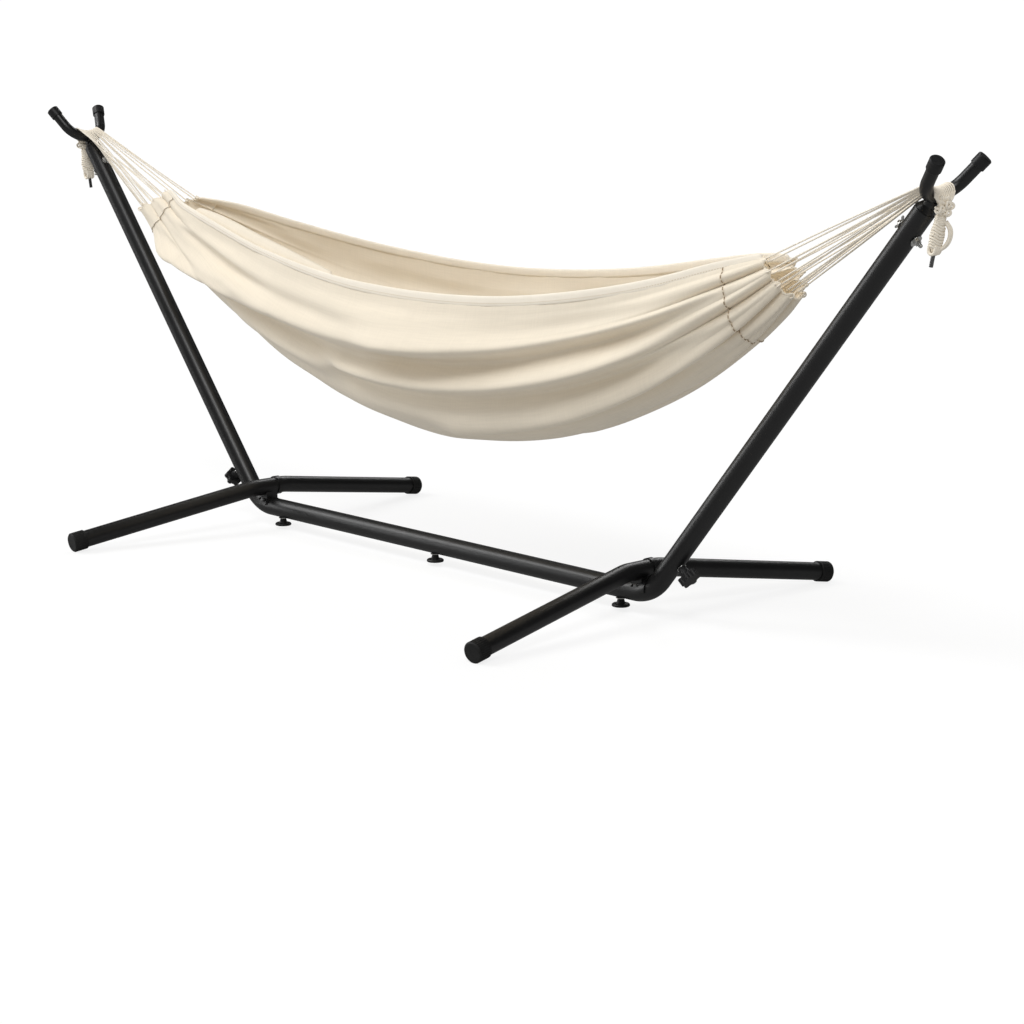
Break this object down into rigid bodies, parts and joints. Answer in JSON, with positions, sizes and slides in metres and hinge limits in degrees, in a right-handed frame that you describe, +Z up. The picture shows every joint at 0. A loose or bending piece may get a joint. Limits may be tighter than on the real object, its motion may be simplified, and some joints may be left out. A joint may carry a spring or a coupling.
{
  "type": "hammock on stand",
  "caption": "Cotton hammock hung by fanned cords between two forked hooks on a steel tube stand, with crossing legs, clamp knobs and screw-down feet.",
  "frame": {"origin": "on the floor, under the middle of the stand", "axes": "+X along the beam towards the right hook, -Y towards the near side, +Z up"},
  "size_m": [2.9746, 1.102, 1.0259],
  "materials": {
    "black_tube": "satin black powder coat",
    "black_rubber": "matt ribbed rubber",
    "black_plastic": "moulded black plastic",
    "zinc": "bright zinc plate",
    "canvas": "plain-woven natural cotton canvas",
    "hem_cloth": "doubled and stitched cotton",
    "cord": "twisted natural cotton cord"
  },
  "bodies": {
    "stand": {"centre_beam": "black_tube", "left_elbow": "black_tube", "right_elbow": "black_tube", "left_arm_tube": "black_tube", "right_arm_tube": "black_tube", "left_near_leg": "black_tube", "right_near_leg": "black_tube", "left_far_leg": "black_tube", "right_far_leg": "black_tube", "left_leg_collar": "black_tube", "right_leg_collar": "black_tube", "left_near_leg_cap": "black_rubber", "right_near_leg_cap": "black_rubber", "left_far_leg_cap": "black_rubber", "right_far_leg_cap": "black_rubber", "left_foot_saddle": "black_tube", "right_foot_saddle": "black_tube", "saddle_screws": "black_tube", "left_hook_horns": "black_tube", "right_hook_horns": "black_tube", "left_hook_neck": "black_tube", "right_hook_neck": "black_tube", "horn_caps": "black_plastic", "left_hook_bolt": "zinc", "right_hook_bolt": "zinc", "hook_bolt_washers": "zinc", "hook_bolt_nuts": "zinc", "foot_weld_nuts": "zinc", "arm_weld_nuts": "zinc", "left_saddle_band": "cord", "right_saddle_band": "cord"},
    "hammock": {"hammock_bed": "canvas", "near_hem": "hem_cloth", "far_hem": "hem_cloth", "left_end_band": "canvas", "right_end_band": "canvas", "left_suspension_cords": "cord", "right_suspension_cords": "cord"},
    "left_hank_body": {"left_hank": "cord", "left_hank_pin": "zinc"},
    "left_wing_slide_body": {"left_wing_washer": "zinc"},
    "left_wing_turn_body": {"left_wing_nut": "zinc"},
    "left_star_slide_body": {"left_star_washer": "zinc"},
    "left_star_turn_body": {"left_star_knob": "black_plastic", "left_star_stud": "zinc"},
    "right_hank_body": {"right_hank": "cord", "right_hank_pin": "zinc"},
    "right_wing_slide_body": {"right_wing_washer": "zinc"},
    "right_wing_turn_body": {"right_wing_nut": "zinc"},
    "right_star_slide_body": {"right_star_washer": "zinc"},
    "right_star_turn_body": {"right_star_knob": "black_plastic", "right_star_stud": "zinc"},
    "left_disc_slide_body": {"left_disc_washer": "zinc"},
    "left_disc_turn_body": {"left_disc_foot": "black_plastic"},
    "middle_disc_slide_body": {"middle_disc_washer": "zinc"},
    "middle_disc_turn_body": {"middle_disc_foot": "black_plastic"},
    "right_disc_slide_body": {"right_disc_washer": "zinc"},
    "right_disc_turn_body": {"right_disc_foot": "black_plastic"}
  },
  "joints": [
    {"name": "hammock_swing", "type": "hinge", "parent": "stand", "child": "hammock", "pos_m": [0, 0, 0.9575], "axis": [1, 0, 0], "range_deg": [-20, 20], "deforming": ["left_suspension_cords", "right_suspension_cords"]},
    {"name": "left_hank_sway", "type": "hinge", "parent": "stand", "child": "left_hank_body", "pos_m": [-1.4385, 0, 0.944], "axis": [0, 1, 0], "range_deg": [0, 25]},
    {"name": "left_wing_travel", "type": "slide", "parent": "stand", "child": "left_wing_slide_body", "axis": [0.7749, 0, 0.632], "range_m": [0, 0.00375]},
    {"name": "left_wing_turn", "type": "hinge", "parent": "left_wing_slide_body", "child": "left_wing_turn_body", "pos_m": [-1.33965, 0, 0.88511], "axis": [0.7749, 0, 0.632], "range_deg": [0, 1080]},
    {"name": "left_star_travel", "type": "slide", "parent": "stand", "child": "left_star_slide_body", "axis": [-0.7749, 0, -0.632], "range_m": [0, 0.00375]},
    {"name": "left_star_turn", "type": "hinge", "parent": "left_star_slide_body", "child": "left_star_turn_body", "pos_m": [-0.77662, 0, 0.12357], "axis": [-0.7749, 0, -0.632], "range_deg": [0, 1080]},
    {"name": "right_hank_sway", "type": "hinge", "parent": "stand", "child": "right_hank_body", "pos_m": [1.4385, 0, 0.944], "axis": [0, -1, 0], "range_deg": [0, 25]},
    {"name": "right_wing_travel", "type": "slide", "parent": "stand", "child": "right_wing_slide_body", "axis": [-0.7749, 0, 0.632], "range_m": [0, 0.00375]},
    {"name": "right_wing_turn", "type": "hinge", "parent": "right_wing_slide_body", "child": "right_wing_turn_body", "pos_m": [1.33965, 0, 0.88511], "axis": [-0.7749, 0, 0.632], "range_deg": [0, 1080]},
    {"name": "right_star_travel", "type": "slide", "parent": "stand", "child": "right_star_slide_body", "axis": [0.7749, 0, -0.632], "range_m": [0, 0.00375]},
    {"name": "right_star_turn", "type": "hinge", "parent": "right_star_slide_body", "child": "right_star_turn_body", "pos_m": [0.77662, 0, 0.12357], "axis": [0.7749, 0, -0.632], "range_deg": [0, 1080]},
    {"name": "left_disc_travel", "type": "slide", "parent": "stand", "child": "left_disc_slide_body", "axis": [0, 0, -1], "range_m": [0, 0.0075]},
    {"name": "left_disc_turn", "type": "hinge", "parent": "left_disc_slide_body", "child": "left_disc_turn_body", "pos_m": [-0.597, 0, 0.0285], "axis": [0, 0, -1], "range_deg": [0, 2160]},
    {"name": "middle_disc_travel", "type": "slide", "parent": "stand", "child": "middle_disc_slide_body", "axis": [0, 0, -1], "range_m": [0, 0.0075]},
    {"name": "middle_disc_turn", "type": "hinge", "parent": "middle_disc_slide_body", "child": "middle_disc_turn_body", "pos_m": [-0.017, 0, 0.0285], "axis": [0, 0, -1], "range_deg": [0, 2160]},
    {"name": "right_disc_travel", "type": "slide", "parent": "stand", "child": "right_disc_slide_body", "axis": [0, 0, -1], "range_m": [0, 0.0075]},
    {"name": "right_disc_turn", "type": "hinge", "parent": "right_disc_slide_body", "child": "right_disc_turn_body", "pos_m": [0.597, 0, 0.0285], "axis": [0, 0, -1], "range_deg": [0, 2160]}
  ],
  "couplings": [
    {"joint": "left_wing_turn", "follows": "left_wing_travel", "rad_per_m": 5026.5},
    {"joint": "left_star_turn", "follows": "left_star_travel", "rad_per_m": 5026.5},
    {"joint": "right_wing_turn", "follows": "right_wing_travel", "rad_per_m": 5026.5},
    {"joint": "right_star_turn", "follows": "right_star_travel", "rad_per_m": 5026.5},
    {"joint": "left_disc_turn", "follows": "left_disc_travel", "rad_per_m": 5026.5},
    {"joint": "middle_disc_turn", "follows": "middle_disc_travel", "rad_per_m": 5026.5},
    {"joint": "right_disc_turn", "follows": "right_disc_travel", "rad_per_m": 5026.5}
  ]
}
